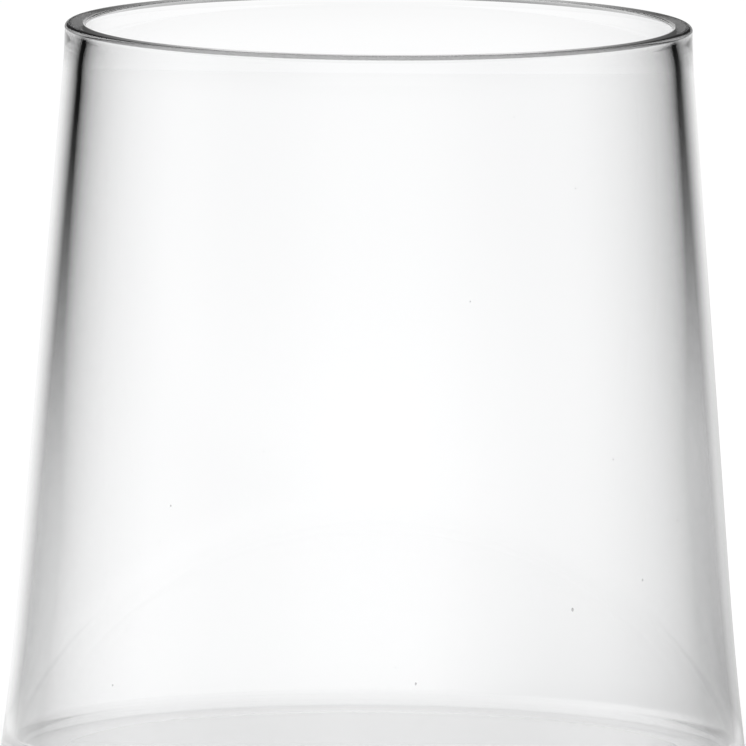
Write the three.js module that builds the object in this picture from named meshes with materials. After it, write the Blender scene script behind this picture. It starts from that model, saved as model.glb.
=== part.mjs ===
// Glass vase for cut flowers: one blown piece, narrower at the mouth than at the foot.
// Lengths are in millimetres. The origin is the middle of the foot on the table, and +Z is up.
import * as THREE from 'three';

// Overall size
const height = 150;
const mouthDiameter = 124.4; // outside, where the line of the wall meets the top of the rim
const footDiameter = 150; // outside, where the line of the wall meets the table

// The wall leans in a straight line, and its lowest stretch sweeps out a little further.
const flareHeight = 40;
const flareReach = 1;

// Thickness of the glass
const wallUnderRim = 3.4;
const wallAtFoot = 2.3;
const floorThickness = 5;

// Rim: cut level, with its two edges melted round. The melted glass gathers there, outside and inside.
const rimThickness = 4.2;
const rimSwellOutside = 0.35;
const rimBlendHeight = 9;
const rimEdgeRadius = 0.8;

// Rounded corners of the foot
const heelRadius = 5; // outside, under the wall
const insideCornerRadius = 3; // between the wall and the floor

// Underside: a shallow hollow leaves a flat ring to stand on.
const hollowDiameter = 124;
const hollowDepth = 1.5;

// Facets
const facetsAround = 96;
const stepsPerHeel = 6;
const stepsPerCorner = 6;
const stepsPerRimEdge = 4;
const stepsPerWall = 8;
const stepsPerBlend = 3;
const stepsPerHollow = 5;

const quarterTurn = Math.PI / 2;

// How much of a blend is left at a distance from its start, easing off to nothing at its reach.
function easedShare(distance, reach) {
  return Math.max(1 - Math.max(distance, 0) / reach, 0) ** 2;
}

// How much of the rim's swell there is at height z: all of it from the foot of the rounded edges up.
function rimShare(z) {
  return easedShare(height - rimEdgeRadius - z, rimBlendHeight);
}

// Radius of the outside at height z: a straight lean, the flare at the foot and the rim's swell.
function outsideRadius(z) {
  const mouthRadius = mouthDiameter / 2;
  const straightReach = (footDiameter - mouthDiameter) / 2 - flareReach;
  const dropShare = (height - z) / height;
  const wall = mouthRadius + straightReach * dropShare + flareReach * easedShare(z, flareHeight);
  return wall + rimSwellOutside * rimShare(z);
}

// Thickness of the wall at height z: it thins evenly towards the foot and swells at the rim.
function wallThickness(z) {
  const dropShare = (height - z) / height;
  const blown = wallUnderRim + (wallAtFoot - wallUnderRim) * dropShare;
  return blown + (rimThickness - wallUnderRim) * rimShare(z);
}

function insideRadius(z) {
  return outsideRadius(z) - wallThickness(z);
}

// Points of a stretch, one for each step after its start, so that stretches join without doubles.
function stretch(steps, pointAt) {
  return Array.from({ length: steps }, (_, step) => pointAt((step + 1) / steps));
}

// Underside of the foot: the hollow is an arc of a circle that sinks to nothing at its edge.
function hollowProfile() {
  const edge = hollowDiameter / 2;
  const arcRadius = (edge ** 2 + hollowDepth ** 2) / (2 * hollowDepth);
  const arcAngle = Math.asin(edge / arcRadius);
  const arcCentre = hollowDepth - arcRadius;
  return stretch(stepsPerHollow, (share) => {
    const angle = arcAngle * share;
    const rise = share < 1 ? arcCentre + arcRadius * Math.cos(angle) : 0;
    return new THREE.Vector2(arcRadius * Math.sin(angle), rise);
  });
}

// Heel: a quarter circle laid against the outside of the wall, from the standing ring up.
function heelProfile() {
  const atAngle = (angle) => {
    const z = heelRadius * (1 - Math.cos(angle));
    return new THREE.Vector2(outsideRadius(z) - heelRadius * (1 - Math.sin(angle)), z);
  };
  return [atAngle(0), ...stretch(stepsPerHeel, (share) => atAngle(quarterTurn * share))];
}

// Outside of the wall, up from the heel: the long wall, with shorter steps in the flare, then the blend.
function outsideProfile() {
  const bottom = heelRadius;
  const top = height - rimEdgeRadius;
  const blendStart = top - rimBlendHeight;
  const wallPoint = (z) => new THREE.Vector2(outsideRadius(z), z);
  return [
    ...stretch(stepsPerWall, (share) => wallPoint(bottom + (blendStart - bottom) * share ** 2)),
    ...stretch(stepsPerBlend, (share) => wallPoint(blendStart + (top - blendStart) * share)),
  ];
}

// Rim: a quarter circle up from the outside of the wall, a level top, and a quarter circle down inside.
function rimProfile() {
  const outerEdge = stretch(stepsPerRimEdge, (share) => {
    const angle = quarterTurn * share;
    const z = height - rimEdgeRadius * (1 - Math.sin(angle));
    return new THREE.Vector2(outsideRadius(z) - rimEdgeRadius * (1 - Math.cos(angle)), z);
  });
  const innerEdge = stretch(stepsPerRimEdge, (share) => {
    const angle = quarterTurn * share;
    const z = height - rimEdgeRadius * (1 - Math.cos(angle));
    return new THREE.Vector2(insideRadius(z) + rimEdgeRadius * (1 - Math.sin(angle)), z);
  });
  return [...outerEdge, new THREE.Vector2(insideRadius(height) + rimEdgeRadius, height), ...innerEdge];
}

// Inside of the wall, down from the rim: first the blend under the rim, then the long wall.
function insideProfile() {
  const top = height - rimEdgeRadius;
  const blendEnd = top - rimBlendHeight;
  const bottom = floorThickness + insideCornerRadius;
  const wallPoint = (z) => new THREE.Vector2(insideRadius(z), z);
  return [
    ...stretch(stepsPerBlend, (share) => wallPoint(top + (blendEnd - top) * share)),
    ...stretch(stepsPerWall, (share) => wallPoint(bottom + (blendEnd - bottom) * (1 - share) ** 2)),
  ];
}

// Inside corner: a quarter circle laid against the inside of the wall, down to the flat floor.
function cornerProfile() {
  return stretch(stepsPerCorner, (share) => {
    const angle = quarterTurn * share;
    const z = floorThickness + insideCornerRadius * (1 - Math.sin(angle));
    return new THREE.Vector2(insideRadius(z) - insideCornerRadius * (1 - Math.cos(angle)), z);
  });
}

// The section of the glass, from the middle of the underside round to the middle of the floor.
function glassProfile() {
  return [
    new THREE.Vector2(0, hollowDepth),
    ...hollowProfile(),
    ...heelProfile(),
    ...outsideProfile(),
    ...rimProfile(),
    ...insideProfile(),
    ...cornerProfile(),
    new THREE.Vector2(0, floorThickness),
  ];
}

function glassVase() {
  const geometry = new THREE.LatheGeometry(glassProfile(), facetsAround);
  geometry.rotateX(quarterTurn);
  const glass = new THREE.MeshStandardMaterial({
    color: 0xf4f7f6,
    roughness: 0.03,
    metalness: 0,
    transparent: true,
    opacity: 0.3,
  });
  const mesh = new THREE.Mesh(geometry, glass);
  mesh.name = 'glass_vase';
  return mesh;
}

const vase = new THREE.Group();
vase.add(glassVase());

export default vase;
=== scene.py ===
"""Clear blown glass vase on a white table, in soft studio light."""
import math

import bpy
import numpy as np
from mathutils import Matrix, Vector


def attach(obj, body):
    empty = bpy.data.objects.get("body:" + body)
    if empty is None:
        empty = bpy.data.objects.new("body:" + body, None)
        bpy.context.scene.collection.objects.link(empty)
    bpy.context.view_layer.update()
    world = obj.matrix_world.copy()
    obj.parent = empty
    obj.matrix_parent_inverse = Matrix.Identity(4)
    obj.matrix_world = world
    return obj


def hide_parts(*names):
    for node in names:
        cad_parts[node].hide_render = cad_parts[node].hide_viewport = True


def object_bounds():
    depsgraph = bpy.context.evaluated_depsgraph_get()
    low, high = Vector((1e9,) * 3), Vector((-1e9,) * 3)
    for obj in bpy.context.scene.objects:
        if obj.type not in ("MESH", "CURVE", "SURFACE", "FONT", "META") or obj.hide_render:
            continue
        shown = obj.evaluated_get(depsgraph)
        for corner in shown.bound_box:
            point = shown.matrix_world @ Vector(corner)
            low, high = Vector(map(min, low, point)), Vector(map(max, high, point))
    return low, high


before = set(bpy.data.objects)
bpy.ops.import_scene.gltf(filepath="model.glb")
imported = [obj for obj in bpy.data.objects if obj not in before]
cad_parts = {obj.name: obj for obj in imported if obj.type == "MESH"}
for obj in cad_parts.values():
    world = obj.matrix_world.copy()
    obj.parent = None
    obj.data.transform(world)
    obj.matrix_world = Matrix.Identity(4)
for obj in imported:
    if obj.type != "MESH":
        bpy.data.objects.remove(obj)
cad_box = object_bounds()

MM = 0.001
DEGREE = math.radians(1)
QUARTER_TURN = math.pi / 2

# The glass, in metres: the same sizes as the CAD piece
HEIGHT = cad_box[1].z
MOUTH_DIAMETER = 124.4 * MM
FOOT_DIAMETER = 150 * MM
FLARE_HEIGHT = 40 * MM
FLARE_REACH = 1 * MM
WALL_UNDER_RIM = 3.4 * MM
WALL_AT_FOOT = 2.3 * MM
FLOOR_THICKNESS = 5 * MM
RIM_THICKNESS = 4.2 * MM
RIM_SWELL_OUTSIDE = 0.35 * MM
RIM_BLEND_HEIGHT = 9 * MM
RIM_EDGE_RADIUS = 0.8 * MM
HEEL_RADIUS = 5 * MM
INSIDE_CORNER_RADIUS = 3 * MM
HOLLOW_DIAMETER = 124 * MM
HOLLOW_DEPTH = 1.5 * MM
RIM_BASE = HEIGHT - RIM_EDGE_RADIUS
BLEND_BASE = RIM_BASE - RIM_BLEND_HEIGHT

# How far the inside stands towards +X, as pairs of a height and the shift there
INSIDE_SHIFT = ((95 * MM, 0.2 * MM), (HEIGHT, 0.1 * MM))

# Fineness of the mesh
STEPS_AROUND = 384
STEPS_HOLLOW = 48
STEPS_RING = 3
STEPS_HEEL = 20
STEPS_WALL = 32
STEPS_BLEND = 8
STEPS_RIM_EDGE = 12
STEPS_RIM_TOP = 4
STEPS_CORNER = 20
STEPS_FLOOR = 12

# How the glass bends, tints and scatters light
GLASS_INDEX = 1.5
GLASS_TINT = (0.996, 0.998, 1.0)
# Painted shade: the grey base colour of the rim's level top, which darkens the light through it
RIM_TOP_PAINTED_SHADE = 0.25
SHADOW_TINT = 0.96
UNDERSIDE_ROUGHNESS = 0.3
HEEL_ROUGH_SHARE = 0.3
CORNER_ROUGH_SHARE = 0.6

# Painted shade on the inside of the wall, standing in for dark surroundings that the edge of the glass bends
# into view. It goes by Layer Weight's Facing, which is 0 square on and 1 grazing. It grows to a dark line
# about the critical angle, whose Facing is one minus its cosine, and past the line it fades.
CRITICAL_FACING = 0.2546
LINE_START_FACING = 0.251
LINE_END_FACING = 0.2572
SHADE_SOFT_SHARE = 0.45
SHADE_SOFT_POWER = 3.2
SHADE_LINE_POWER = 22
SHADE_OUTER_POWER = 2.15
OUTER_SPAN_AT_TABLE = 0.0225
OUTER_SPAN_AT_RIM = 0.039

# The painted line is black high on the wall and grey low on it. Towards +X it greys higher up, by the lean
# times X.
LINE_BLACK_HEIGHT = 139 * MM
LINE_GREY_HEIGHT = 48 * MM
LINE_GREY_LEVEL = 0.7
LINE_LEAN = 0.2

# Painted shade on the rim's two rounded edges: even on the outer one, and less with the slant on the inner
# one
RIM_OUTER_PAINTED_SHADE = 0.55
RIM_INNER_PAINTED_SHADE = 0.7

# Tiny bubbles in the wall: turn from the front in degrees, height and length in millimetres
SEEDS = (
    (34, 40, 0.8), (6.7, 26.6, 0.6), (-46.1, 23.1, 0.45), (60.2, 55, 0.5), (-61.2, 56.7, 0.4),
    (38.1, 122.8, 0.3), (43.9, 68.8, 0.35), (25.6, 137.5, 0.25), (-37.9, 52.5, 0.25), (65.6, 64.8, 0.3),
    (-19, 71.7, 0.2), (3.5, 29.8, 0.2), (128, 34, 0.6), (163, 88, 0.35), (-142, 47, 0.5), (-98, 105, 0.3),
)
SEED_WIDTH_SHARE = 0.7
SEED_STEPS = 8
# Painted shade: the bubbles' see-through grey stands in for their dark outline
SEED_PAINTED_GREY = 0.25
SEED_ROUGHNESS = 0.3
SEED_ALPHA = 0.25

# Soft light: the world gives most of it, and one large lamp above the front gives the rest
WORLD_LIGHT = 0.85
LAMP_PLACE = (-1.1, -1.3, 2.2)
LAMP_SIZE = 1.6
LAMP_WATTS = 18

# The table's face, a little over the standing ring, so that the two never share one plane
TABLE_SIZE = 16.0
TABLE_RISE = 0.02 * MM
TABLE_COLOUR = 0.6
TABLE_GLOW = 0.46

# Overhead the world is less bright in what the glass lets through and mirrors, from one Z of the direction
# to another. Here and below, a pair is the start and the end of a smooth change.
CEILING_EDGE = (0.2, 0.5)
CEILING_LEVEL = 0.55

# What the world and the table show to light that the glass let through: white, and in a sector behind the
# vase, from +Y towards +X, a level that changes in two steps
THROUGH_WHITE = 0.99
SECTOR_FIRST_EDGE = (0.5 * DEGREE, 8 * DEGREE)
SECTOR_FIRST_LEVEL = 0.845
SECTOR_SECOND_EDGE = (6 * DEGREE, 12 * DEGREE)
SECTOR_SECOND_NEAR = 0.85
SECTOR_SECOND_FAR = 1.08
SECTOR_END = (40 * DEGREE, 55 * DEGREE)

# On the table the sector begins at a distance from the vase, and its second step changes with the distance.
# At the wide radius it is twice as wide as far off. Far off, the table is a little less bright all round.
SECTOR_START_RADIUS = (0.08, 0.13)
SECTOR_SECOND_RADIUS = (0.2, 0.8)
SECTOR_WIDE_RADIUS = 0.25
FAR_RADIUS = (0.6, 1.1)
FAR_LEVEL = 0.985

# What they show to light that the glass mirrors: four white ways, front, back and sides, and dark between.
# The world's front way is less bright, where the direction's Y is low.
MIRROR_WAYS = 4
MIRROR_EDGE = (8 * DEGREE, 41 * DEGREE)
MIRROR_WHITE = 0.9
MIRROR_DARK = 0.03
MIRROR_FRONT_EDGE = (-0.9, -0.6)
MIRROR_FRONT_LEVEL = 0.65

# On the table each way is wider on both sides by the same strip. Up to a distance, the back way is less
# bright on its side towards +X.
MIRROR_STRIP = 70 * MM
MIRROR_DIM_EDGE = (0, 6 * DEGREE)
MIRROR_DIM_END = (14 * DEGREE, 26 * DEGREE)
MIRROR_DIM_LEVEL = 0.65
MIRROR_DIM_RADIUS = (0.6, 1.3)

# A ring of cards round the vase, above its rim, seen only in what the glass mirrors
CARD_WAYS = 8
CARD_RING_RADIUS = 0.35
CARD_RING_BOTTOM = 0.178
CARD_RING_TOP = 0.45
CARD_RING_STEPS = 128
CARD_EDGE = (4.5 * DEGREE, 11 * DEGREE)
CARD_WHITE = 1.0
CARD_DARK = 0.12

# Camera: where it stands, how far it looks down, and its small roll, as fitted to the photograph
CAMERA_DISTANCE = 5.0
CAMERA_HEIGHT = 0.66413
CAMERA_PITCH = 0.1163
CAMERA_ROLL = 0.0077
CAMERA_SIDE = -0.0006
CAMERA_FOCAL_PIXELS = 25216
CAMERA_REACH = 100.0
PICTURE_PIXELS = 746
SENSOR_MM = 36

# How often light may turn in all and in the glass, and how often it may be mirrored or pass a clear surface
LIGHT_TURNS = 24
MIRROR_TURNS = 16


def eased_share(distance, reach):
    """How much of a blend is left at a distance: the square of one minus the distance over the reach."""
    return np.clip(1 - np.maximum(distance, 0) / reach, 0, 1) ** 2


def rim_share(z):
    """How much of the rim's swell there is at height z."""
    return eased_share(RIM_BASE - z, RIM_BLEND_HEIGHT)


def outside_radius(z):
    """A straight lean from mouth to foot, plus the eased flare at the foot and the rim's eased swell."""
    straight_reach = (FOOT_DIAMETER - MOUTH_DIAMETER) / 2 - FLARE_REACH
    lean = straight_reach * (HEIGHT - z) / HEIGHT
    wall = MOUTH_DIAMETER / 2 + lean + FLARE_REACH * eased_share(z, FLARE_HEIGHT)
    return wall + RIM_SWELL_OUTSIDE * rim_share(z)


def inside_radius(z):
    """The outside radius less the wall, which thins evenly downwards and swells at the rim."""
    blown = WALL_UNDER_RIM + (WALL_AT_FOOT - WALL_UNDER_RIM) * (HEIGHT - z) / HEIGHT
    return outside_radius(z) - blown - (RIM_THICKNESS - WALL_UNDER_RIM) * rim_share(z)


def shares(steps):
    """Even steps from just after 0 up to 1."""
    return np.arange(1, steps + 1) / steps


def underside():
    """An arc of a circle from the middle of the hollow to its edge at the table, then the standing ring."""
    hollow = HOLLOW_DIAMETER / 2
    arc_radius = (hollow**2 + HOLLOW_DEPTH**2) / (2 * HOLLOW_DEPTH)
    angle = math.asin(hollow / arc_radius) * shares(STEPS_HOLLOW)
    arc_height = HOLLOW_DEPTH - arc_radius * (1 - np.cos(angle))
    ring = hollow + (outside_radius(0) - HEEL_RADIUS - hollow) * shares(STEPS_RING)
    radius = np.concatenate([[0], arc_radius * np.sin(angle), ring])
    return radius, np.concatenate([[HOLLOW_DEPTH], arc_height, np.zeros(STEPS_RING)])


def heel():
    """A quarter circle laid against the outside of the wall, up from the standing ring."""
    angle = QUARTER_TURN * shares(STEPS_HEEL)
    z = HEEL_RADIUS * (1 - np.cos(angle))
    return outside_radius(z) - HEEL_RADIUS * (1 - np.sin(angle)), z


def outside_wall():
    """The outside radius at even steps of height, and at shorter ones up the rim's swell."""
    long_wall = HEEL_RADIUS + (BLEND_BASE - HEEL_RADIUS) * shares(STEPS_WALL)
    z = np.concatenate([long_wall, BLEND_BASE + RIM_BLEND_HEIGHT * shares(STEPS_BLEND)])
    return outside_radius(z), z


def rim_outer():
    """A quarter circle from the outside of the wall up to the level top."""
    angle = QUARTER_TURN * shares(STEPS_RIM_EDGE)
    z = HEIGHT - RIM_EDGE_RADIUS * (1 - np.sin(angle))
    return outside_radius(z) - RIM_EDGE_RADIUS * (1 - np.cos(angle)), z


def rim_top():
    """A level line from the outer rounded edge to the inner one."""
    outer = outside_radius(HEIGHT) - RIM_EDGE_RADIUS
    inner = inside_radius(HEIGHT) + RIM_EDGE_RADIUS
    return outer + (inner - outer) * shares(STEPS_RIM_TOP), np.full(STEPS_RIM_TOP, HEIGHT)


def rim_inner():
    """A quarter circle from the level top down to the inside of the wall."""
    angle = QUARTER_TURN * shares(STEPS_RIM_EDGE)
    z = HEIGHT - RIM_EDGE_RADIUS * (1 - np.cos(angle))
    return inside_radius(z) + RIM_EDGE_RADIUS * (1 - np.sin(angle)), z


def inside_wall():
    """The inside radius at short steps of height down the rim's swell, and at even ones to the corner."""
    corner_top = FLOOR_THICKNESS + INSIDE_CORNER_RADIUS
    long_wall = BLEND_BASE + (corner_top - BLEND_BASE) * shares(STEPS_WALL)
    z = np.concatenate([RIM_BASE - RIM_BLEND_HEIGHT * shares(STEPS_BLEND), long_wall])
    return inside_radius(z), z


def inside_corner():
    """A quarter circle laid against the inside of the wall, down to the floor."""
    angle = QUARTER_TURN * shares(STEPS_CORNER)
    z = FLOOR_THICKNESS + INSIDE_CORNER_RADIUS * (1 - np.sin(angle))
    return inside_radius(z) - INSIDE_CORNER_RADIUS * (1 - np.cos(angle)), z


def inside_floor():
    """A level line from the corner in to the axis."""
    edge = inside_radius(FLOOR_THICKNESS) - INSIDE_CORNER_RADIUS
    return edge * (1 - shares(STEPS_FLOOR)), np.full(STEPS_FLOOR, FLOOR_THICKNESS)


def glass_section():
    """The section of the glass, from the middle of the underside round to the middle of the floor: each
    ring's radius and height, how far it stands off the axis, and masks with one value for each ring. The
    last ring of a stretch is also where the next one starts."""
    stretches = {
        "underside": underside(),
        "heel": heel(),
        "outside_wall": outside_wall(),
        "rim_outer": rim_outer(),
        "rim_top": rim_top(),
        "rim_inner": rim_inner(),
        "inside_wall": inside_wall(),
        "inside_corner": inside_corner(),
        "inside_floor": inside_floor(),
    }
    radius, height = (np.concatenate(values) for values in zip(*stretches.values()))
    ends = dict(zip(stretches, np.cumsum([len(values) for values, _ in stretches.values()])))
    ring = np.arange(len(radius))

    def rings(first, end):
        """1 on the rings from first up to the one before end, and 0 on all others."""
        return ((ring >= first) & (ring < end)).astype(float)

    roughened = rings(0, ends["underside"]) + HEEL_ROUGH_SHARE * rings(ends["underside"], ends["heel"])
    roughened += CORNER_ROUGH_SHARE * rings(ends["inside_wall"], ends["inside_corner"])
    masks = {
        "rim_outer": rings(ends["outside_wall"], ends["rim_outer"]),
        "rim_top": rings(ends["rim_outer"] - 1, ends["rim_top"]),
        "rim_inner": rings(ends["rim_top"], ends["rim_inner"] - 1),
        "inside_wall": rings(ends["rim_inner"], ends["inside_wall"]),
        "roughened": roughened,
    }
    shift_heights, shifts = zip(*INSIDE_SHIFT)
    shift = np.interp(height, shift_heights, shifts) * rings(ends["rim_top"] - 1, len(radius))
    return radius, height, shift, masks


def quads_between(rings, steps):
    """Quads between each ring of points and the next, as point numbers. A ring has a point for each step."""
    here = np.arange(steps)
    after = (here + 1) % steps
    low = (np.arange(rings - 1) * steps)[:, None]
    quads = np.stack([low + here, low + after, low + steps + after, low + steps + here], axis=-1)
    return quads.reshape(-1, 4)


def end_fans(rings, steps):
    """Triangles that close the first and the last ring. The two end points are numbered after the rings."""
    here = np.arange(steps)
    after = (here + 1) % steps
    last = (rings - 1) * steps
    first_fan = np.stack([np.full(steps, rings * steps), after, here], axis=-1)
    last_fan = np.stack([np.full(steps, rings * steps + 1), last + here, last + after], axis=-1)
    return np.vstack([first_fan, last_fan])


def new_piece(name, points, faces, smooth=False):
    """A mesh made into an object at the origin."""
    mesh = bpy.data.meshes.new(name)
    mesh.from_pydata(points, [], faces)
    mesh.polygons.foreach_set("use_smooth", np.full(len(mesh.polygons), smooth))
    mesh.update()
    piece = bpy.data.objects.new(name, mesh)
    bpy.context.scene.collection.objects.link(piece)
    return piece


def revolve(name, radius, height, shift, masks, steps):
    """Turns a section that starts and ends on the axis round Z. A ring holds the points (shift plus radius
    times the turn's cosine, radius times its sine, height). Each mask becomes a point attribute."""
    turn = 2 * math.pi * np.arange(steps) / steps
    ring_radius, ring_height, ring_shift = radius[1:-1, None], height[1:-1, None], shift[1:-1, None]
    x = ring_shift + ring_radius * np.cos(turn)
    y = ring_radius * np.sin(turn)
    rings = np.stack(np.broadcast_arrays(x, y, ring_height), axis=-1).reshape(-1, 3)
    ends = [[shift[0], 0, height[0]], [shift[-1], 0, height[-1]]]
    count = len(radius) - 2
    faces = [*quads_between(count, steps).tolist(), *end_fans(count, steps).tolist()]
    piece = new_piece(name, np.vstack([rings, ends]), faces, smooth=True)
    for label, mask in masks.items():
        values = np.concatenate([np.repeat(mask[1:-1], steps), mask[[0, -1]]]).astype(np.float32)
        piece.data.attributes.new(label, "FLOAT", "POINT").data.foreach_set("value", values)
    return piece


def ellipsoids(name, centres, reaches, steps):
    """Closed ellipsoids in one mesh. A point is the centre plus, along each axis, the reach times the unit
    sphere's point: the tilt's sine times the turn's cosine, the tilt's sine times the turn's sine, and minus
    the tilt's cosine."""
    tilt = math.pi * np.arange(1, steps)[:, None] / steps
    turn = 2 * math.pi * np.arange(2 * steps) / (2 * steps)
    x = np.sin(tilt) * np.cos(turn)
    y = np.sin(tilt) * np.sin(turn)
    rings = np.stack(np.broadcast_arrays(x, y, -np.cos(tilt)), axis=-1).reshape(-1, 3)
    unit = np.vstack([rings, [[0, 0, -1], [0, 0, 1]]])
    points = centres[:, None, :] + reaches[:, None, :] * unit
    starts = (np.arange(len(centres)) * len(unit))[:, None, None]
    quads = starts + quads_between(steps - 1, 2 * steps)
    fans = starts + end_fans(steps - 1, 2 * steps)
    faces = [*quads.reshape(-1, 4).tolist(), *fans.reshape(-1, 3).tolist()]
    return new_piece(name, points.reshape(-1, 3), faces, smooth=True)


def node(tree, kind, **settings):
    """Adds a node and sets its named properties."""
    made = tree.nodes.new(kind)
    for key, value in settings.items():
        setattr(made, key, value)
    return made


def feed(tree, slot, value):
    """Links a socket to an input, or sets the input to a plain number."""
    if isinstance(value, bpy.types.NodeSocket):
        tree.links.new(value, slot)
    else:
        slot.default_value = value


def maths(tree, operation, *inputs):
    """Adds a Math node fed by sockets or plain numbers and returns its output."""
    made = node(tree, "ShaderNodeMath", operation=operation)
    for slot, value in zip(made.inputs, inputs):
        feed(tree, slot, value)
    return made.outputs[0]


def blend_by(tree, value, start, end, low, high, kind="SMOOTHSTEP"):
    """low before start, high after end, and a smooth change between, or an even one of the kind LINEAR. The
    five are sockets or plain numbers."""
    made = node(tree, "ShaderNodeMapRange", interpolation_type=kind)
    feeds = {"Value": value, "From Min": start, "From Max": end, "To Min": low, "To Max": high}
    for name, source in feeds.items():
        feed(tree, made.inputs[name], source)
    return made.outputs[0]


def split_xyz(tree, vector):
    """The X, Y and Z outputs of a vector."""
    split = node(tree, "ShaderNodeSeparateXYZ")
    tree.links.new(vector, split.inputs[0])
    return split.outputs


def mask_of(tree, name):
    """A mask of the mesh, by its name."""
    return node(tree, "ShaderNodeAttribute", attribute_name=name).outputs["Fac"]


def emit(tree, colour, strength=1.0):
    """An Emission shader of a grey level given by a socket."""
    glow = node(tree, "ShaderNodeEmission")
    tree.links.new(colour, glow.inputs["Color"])
    glow.inputs["Strength"].default_value = strength
    return glow.outputs[0]


def mix_shaders(tree, share, first, second):
    """The first shader where the share is 0, and the second where it is 1."""
    made = node(tree, "ShaderNodeMixShader")
    for slot, socket in zip(made.inputs, (share, first, second)):
        tree.links.new(socket, slot)
    return made.outputs[0]


def new_material(name):
    """A material and its node tree, which is empty."""
    paint = bpy.data.materials.new(name)
    paint.use_nodes = True
    paint.node_tree.nodes.clear()
    return paint, paint.node_tree


def set_surface(tree, kind, shader):
    """Gives a shader to an output node of the kind."""
    output = node(tree, kind)
    tree.links.new(shader, output.inputs["Surface"])


def off_axis(tree, x, y, ways):
    """The angle from the direction (x, y) to the nearest of so many even ways round, the first along Y."""
    step = 2 * math.pi / ways
    turn = maths(tree, "MULTIPLY", maths(tree, "ARCTAN2", x, y), 1 / step)
    aside = maths(tree, "SUBTRACT", turn, maths(tree, "ROUND", turn))
    return maths(tree, "MULTIPLY", maths(tree, "ABSOLUTE", aside), step)


def shown_level(tree, through, mirrored):
    """One level to light that the glass let through, another to mirrored light, and white to all other."""
    path = node(tree, "ShaderNodeLightPath")
    below_white = maths(tree, "SUBTRACT", mirrored, 1)
    plain = maths(tree, "MULTIPLY_ADD", path.outputs["Is Glossy Ray"], below_white, 1)
    change = maths(tree, "SUBTRACT", through, plain)
    return maths(tree, "MULTIPLY_ADD", path.outputs["Is Transmission Ray"], change, plain)


def through_level(tree, turn, second_level):
    """White, and in the sector the product of its two steps, by the angle from +Y towards +X."""
    first = blend_by(tree, turn, *SECTOR_FIRST_EDGE, THROUGH_WHITE, THROUGH_WHITE * SECTOR_FIRST_LEVEL)
    second = blend_by(tree, turn, *SECTOR_SECOND_EDGE, 1, second_level)
    inside = maths(tree, "MULTIPLY", first, second)
    return blend_by(tree, turn, *SECTOR_END, inside, THROUGH_WHITE)


def mirror_level(tree, x, y, aside=0):
    """White at the four ways and dark between, by the angle off the nearest way less the angle aside."""
    angle = maths(tree, "SUBTRACT", off_axis(tree, x, y, MIRROR_WAYS), aside)
    return blend_by(tree, angle, *MIRROR_EDGE, MIRROR_WHITE, MIRROR_DARK)


def build_world():
    """White, with levels of its own, by direction, for light through the glass and off it."""
    world = bpy.data.worlds.new("studio")
    bpy.context.scene.world = world
    world.use_nodes = True
    world.cycles.sampling_method = "NONE"
    tree = world.node_tree
    tree.nodes.clear()
    x, y, up = split_xyz(tree, node(tree, "ShaderNodeTexCoord").outputs["Generated"])
    level = through_level(tree, maths(tree, "ARCTAN2", x, y), SECTOR_SECOND_FAR)
    through = blend_by(tree, up, *CEILING_EDGE, level, CEILING_LEVEL)
    front = blend_by(tree, y, *MIRROR_FRONT_EDGE, MIRROR_FRONT_LEVEL, 1)
    level = maths(tree, "MULTIPLY", mirror_level(tree, x, y), front)
    mirrored = blend_by(tree, up, *CEILING_EDGE, level, CEILING_LEVEL)
    path = node(tree, "ShaderNodeLightPath")
    lit = maths(tree, "MULTIPLY_ADD", path.outputs["Is Diffuse Ray"], WORLD_LIGHT - 1, 1)
    background = node(tree, "ShaderNodeBackground")
    tree.links.new(shown_level(tree, through, mirrored), background.inputs["Color"])
    tree.links.new(lit, background.inputs["Strength"])
    set_surface(tree, "ShaderNodeOutputWorld", background.outputs[0])


def build_lamp():
    """A large lamp that looks at the origin. It shows neither through the glass nor mirrored in it."""
    data = bpy.data.lights.new("soft_lamp", "AREA")
    data.size = LAMP_SIZE
    data.energy = LAMP_WATTS
    lamp = bpy.data.objects.new("soft_lamp", data)
    bpy.context.scene.collection.objects.link(lamp)
    lamp.location = LAMP_PLACE
    lamp.rotation_euler = Vector(LAMP_PLACE).to_track_quat("Z", "Y").to_euler()
    lamp.visible_glossy = False
    lamp.visible_transmission = False


def painted_table_levels(tree):
    """What the table shows through the glass and mirrored in it, as painted shade in its colour and glow, by
    the angle from +Y towards +X and by the distance from the axis. A strip beside a way takes up an angle of
    its width over the distance."""
    place = node(tree, "ShaderNodeTexCoord").outputs["Object"]
    x, y, _ = split_xyz(tree, place)
    length = node(tree, "ShaderNodeVectorMath", operation="LENGTH")
    tree.links.new(place, length.inputs[0])
    reach = length.outputs["Value"]
    turn = maths(tree, "ARCTAN2", x, y)

    near_share = maths(tree, "DIVIDE", reach, maths(tree, "ADD", reach, SECTOR_WIDE_RADIUS))
    second_level = blend_by(tree, reach, *SECTOR_SECOND_RADIUS, SECTOR_SECOND_NEAR, SECTOR_SECOND_FAR)
    level = through_level(tree, maths(tree, "MULTIPLY", turn, near_share), second_level)
    through = blend_by(tree, reach, *SECTOR_START_RADIUS, THROUGH_WHITE, level)
    through = maths(tree, "MULTIPLY", through, blend_by(tree, reach, *FAR_RADIUS, 1, FAR_LEVEL))

    aside = maths(tree, "DIVIDE", MIRROR_STRIP, reach)
    past_strip = maths(tree, "SUBTRACT", turn, aside)
    dim = blend_by(tree, past_strip, *MIRROR_DIM_EDGE, 1, MIRROR_DIM_LEVEL)
    dim = blend_by(tree, past_strip, *MIRROR_DIM_END, dim, 1)
    dim = blend_by(tree, reach, *MIRROR_DIM_RADIUS, dim, 1)
    return through, maths(tree, "MULTIPLY", mirror_level(tree, x, y, aside), dim)


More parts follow.
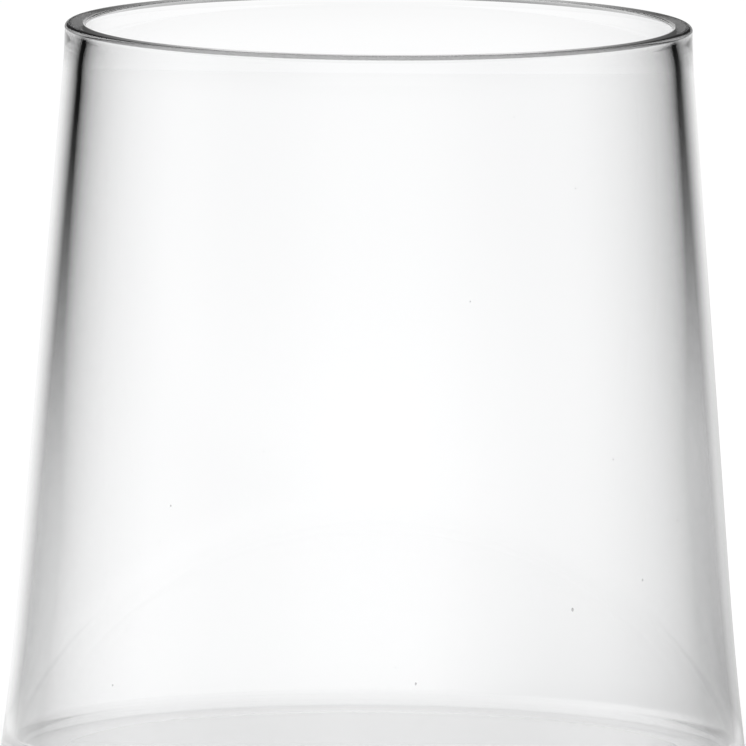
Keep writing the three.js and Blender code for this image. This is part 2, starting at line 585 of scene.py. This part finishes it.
def build_table():
    """A flat white table, lit in part by a glow of its own, with painted shade that only the glass shows."""
    paint, tree = new_material("table_white")
    # Painted shade: to light through and off the glass the table's colour and glow are darker by these
    # levels; to all other light they are white
    shown = shown_level(tree, *painted_table_levels(tree))
    shader = node(tree, "ShaderNodeBsdfDiffuse")
    tree.links.new(maths(tree, "MULTIPLY", shown, TABLE_COLOUR), shader.inputs["Color"])
    both = node(tree, "ShaderNodeAddShader")
    tree.links.new(shader.outputs[0], both.inputs[0])
    tree.links.new(emit(tree, shown, TABLE_GLOW), both.inputs[1])
    set_surface(tree, "ShaderNodeOutputMaterial", both.outputs[0])
    half = TABLE_SIZE / 2
    corners = [(-half, -half), (half, -half), (half, half), (-half, half)]
    table = new_piece("table_top", [(*corner, TABLE_RISE) for corner in corners], [(0, 1, 2, 3)])
    table.data.materials.append(paint)


def card_finish():
    """White at eight ways and dark between. Light that went through the glass passes it."""
    paint, tree = new_material("card_white")
    x, y, _ = split_xyz(tree, node(tree, "ShaderNodeTexCoord").outputs["Object"])
    level = blend_by(tree, off_axis(tree, x, y, CARD_WAYS), *CARD_EDGE, CARD_WHITE, CARD_DARK)
    unseen = node(tree, "ShaderNodeBsdfTransparent").outputs[0]
    passing = node(tree, "ShaderNodeLightPath").outputs["Is Transmission Ray"]
    set_surface(tree, "ShaderNodeOutputMaterial", mix_shaders(tree, passing, emit(tree, level), unseen))
    return paint


def build_card_ring():
    """Upright cards in a circle: the radius times the turn's cosine and times its sine, at two heights."""
    turn = 2 * math.pi * np.arange(CARD_RING_STEPS) / CARD_RING_STEPS
    bottom = np.full(CARD_RING_STEPS, CARD_RING_BOTTOM)
    low = np.stack([CARD_RING_RADIUS * np.cos(turn), CARD_RING_RADIUS * np.sin(turn), bottom], axis=-1)
    high = low + np.array([0, 0, CARD_RING_TOP - CARD_RING_BOTTOM])
    ring = new_piece("card_ring", np.vstack([low, high]), quads_between(2, CARD_RING_STEPS).tolist())
    ring.data.materials.append(card_finish())
    ring.visible_camera = False
    ring.visible_diffuse = False
    ring.visible_shadow = False


def painted_wall_shade(tree, facing):
    """How much painted shade falls where light meets the inside of the wall, standing in for dark
    surroundings: a soft share and a line share, both powers of the slant, at most what the height allows,
    times a power of the fade past the line."""
    slant = maths(tree, "MINIMUM", maths(tree, "MULTIPLY", facing, 1 / LINE_START_FACING), 1)
    soft = maths(tree, "MULTIPLY", maths(tree, "POWER", slant, SHADE_SOFT_POWER), SHADE_SOFT_SHARE)
    line = maths(tree, "POWER", slant, SHADE_LINE_POWER)
    rising = maths(tree, "MULTIPLY_ADD", line, 1 - SHADE_SOFT_SHARE, soft)
    x, _, height = split_xyz(tree, node(tree, "ShaderNodeTexCoord").outputs["Object"])
    leant = maths(tree, "MULTIPLY_ADD", maths(tree, "MAXIMUM", x, 0), -LINE_LEAN, height)
    most = blend_by(tree, leant, LINE_GREY_HEIGHT, LINE_BLACK_HEIGHT, 1 - LINE_GREY_LEVEL, 1)
    span = blend_by(tree, height, 0, HEIGHT, OUTER_SPAN_AT_TABLE, OUTER_SPAN_AT_RIM, kind="LINEAR")
    fade_end = maths(tree, "ADD", span, CRITICAL_FACING)
    fade = blend_by(tree, facing, LINE_END_FACING, fade_end, 1, 0, kind="LINEAR")
    fade = maths(tree, "POWER", fade, SHADE_OUTER_POWER)
    return maths(tree, "MULTIPLY", maths(tree, "MINIMUM", rising, most), fade)


def painted_edge_shade(tree):
    """The painted shade on the inside of the wall, for light within the glass, and on the rim's rounded
    edges.
    """
    facing = node(tree, "ShaderNodeLayerWeight").outputs["Facing"]
    behind = node(tree, "ShaderNodeNewGeometry").outputs["Backfacing"]
    within = maths(tree, "MULTIPLY", mask_of(tree, "inside_wall"), behind)
    wall = maths(tree, "MULTIPLY", painted_wall_shade(tree, facing), within)
    # Painted shade on the rim's rounded edges, by their masks
    inner_edge = maths(tree, "MULTIPLY_ADD", facing, -RIM_INNER_PAINTED_SHADE, RIM_INNER_PAINTED_SHADE)
    shade = maths(tree, "MULTIPLY_ADD", mask_of(tree, "rim_inner"), inner_edge, wall)
    return maths(tree, "MULTIPLY_ADD", mask_of(tree, "rim_outer"), RIM_OUTER_PAINTED_SHADE, shade)


def glass_with_painted_shade():
    """Clear glass with painted shade: darker on the rim's level top, and the painted edge shade over it. It
    is rough under the foot and a little at the heel and the inside corner. Light on its way to a lamp passes
    almost whole."""
    glass, tree = new_material("clear_glass")
    shader = node(tree, "ShaderNodeBsdfPrincipled")
    # The glass's own slight tint, with painted shade on the rim's level top
    tint_and_painted_shade = node(tree, "ShaderNodeMix", data_type="RGBA")
    tree.links.new(mask_of(tree, "rim_top"), tint_and_painted_shade.inputs["Factor"])
    tint_and_painted_shade.inputs["A"].default_value = (*GLASS_TINT, 1)
    tint_and_painted_shade.inputs["B"].default_value = (RIM_TOP_PAINTED_SHADE, RIM_TOP_PAINTED_SHADE, RIM_TOP_PAINTED_SHADE, 1)
    tree.links.new(tint_and_painted_shade.outputs["Result"], shader.inputs["Base Color"])
    roughness = maths(tree, "MULTIPLY", mask_of(tree, "roughened"), UNDERSIDE_ROUGHNESS)
    tree.links.new(roughness, shader.inputs["Roughness"])
    shader.inputs["IOR"].default_value = GLASS_INDEX
    shader.inputs["Transmission Weight"].default_value = 1.0
    # A black Diffuse that the edge shade mixes over the glass: painted shade
    painted_dark = node(tree, "ShaderNodeBsdfDiffuse")
    painted_dark.inputs["Color"].default_value = (0, 0, 0, 1)
    clear = node(tree, "ShaderNodeBsdfTransparent")
    clear.inputs["Color"].default_value = (SHADOW_TINT, SHADOW_TINT, SHADOW_TINT, 1)
    with_painted_shade = mix_shaders(tree, painted_edge_shade(tree), shader.outputs[0], painted_dark.outputs[0])
    to_lamp = node(tree, "ShaderNodeLightPath").outputs["Is Shadow Ray"]
    set_surface(tree, "ShaderNodeOutputMaterial", mix_shaders(tree, to_lamp, with_painted_shade, clear.outputs[0]))
    return glass


def build_vase():
    """The blown glass, in place of the CAD piece."""
    vase = revolve("blown_glass", *glass_section(), STEPS_AROUND)
    vase.data.materials.append(glass_with_painted_shade())
    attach(vase, "root")
    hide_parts("glass_vase")


def painted_seed_shade():
    """See-through grey, a painted shade which stands in for the dark outline of a bubble."""
    paint, tree = new_material("seed_grey")
    shader = node(tree, "ShaderNodeBsdfPrincipled")
    shader.inputs["Base Color"].default_value = (SEED_PAINTED_GREY, SEED_PAINTED_GREY, SEED_PAINTED_GREY, 1)
    shader.inputs["Roughness"].default_value = SEED_ROUGHNESS
    shader.inputs["Alpha"].default_value = SEED_ALPHA
    set_surface(tree, "ShaderNodeOutputMaterial", shader.outputs[0])
    return paint


def build_seeds():
    """Tiny bubbles in the middle of the wall, taller than wide. Each centre is the wall's middle radius at
    its height times the turn's sine and minus its cosine."""
    turn, height, length = np.array(SEEDS).T * [[DEGREE], [MM], [MM]]
    radius = (outside_radius(height) + inside_radius(height)) / 2
    centres = np.stack([radius * np.sin(turn), -radius * np.cos(turn), height], axis=-1)
    width = length * SEED_WIDTH_SHARE
    reaches = np.stack([width, width, length], axis=-1) / 2
    seeds = ellipsoids("glass_seeds", centres, reaches, SEED_STEPS)
    seeds.data.materials.append(painted_seed_shade())
    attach(seeds, "root")


def build_camera():
    """The view of the photograph: level with the table, then turned down by the pitch and rolled."""
    data = bpy.data.cameras.new("camera")
    data.sensor_width = SENSOR_MM
    data.lens = CAMERA_FOCAL_PIXELS / PICTURE_PIXELS * SENSOR_MM
    data.clip_end = CAMERA_REACH
    camera = bpy.data.objects.new("camera", data)
    bpy.context.scene.collection.objects.link(camera)
    right = Vector((1, 0, 0))
    up = Vector((0, math.sin(CAMERA_PITCH), math.cos(CAMERA_PITCH)))
    back = right.cross(up)
    turned_right = math.cos(CAMERA_ROLL) * right + math.sin(CAMERA_ROLL) * up
    turned_up = math.cos(CAMERA_ROLL) * up - math.sin(CAMERA_ROLL) * right
    axes = Matrix((turned_right, turned_up, back)).transposed()
    place = Matrix.Translation((CAMERA_SIDE, -CAMERA_DISTANCE, CAMERA_HEIGHT))
    camera.matrix_world = place @ axes.to_4x4()
    bpy.context.scene.camera = camera


def set_light_paths():
    """The plain view transform, enough turns of light for clear glass, and light bent onto the table."""
    scene = bpy.context.scene
    scene.view_settings.view_transform = "Standard"
    scene.cycles.max_bounces = LIGHT_TURNS
    scene.cycles.transmission_bounces = LIGHT_TURNS
    scene.cycles.glossy_bounces = MIRROR_TURNS
    scene.cycles.transparent_max_bounces = MIRROR_TURNS
    scene.cycles.caustics_refractive = True
    scene.cycles.caustics_reflective = False


build_camera()
build_world()
build_table()
build_card_ring()
build_lamp()
build_vase()
build_seeds()
set_light_paths()
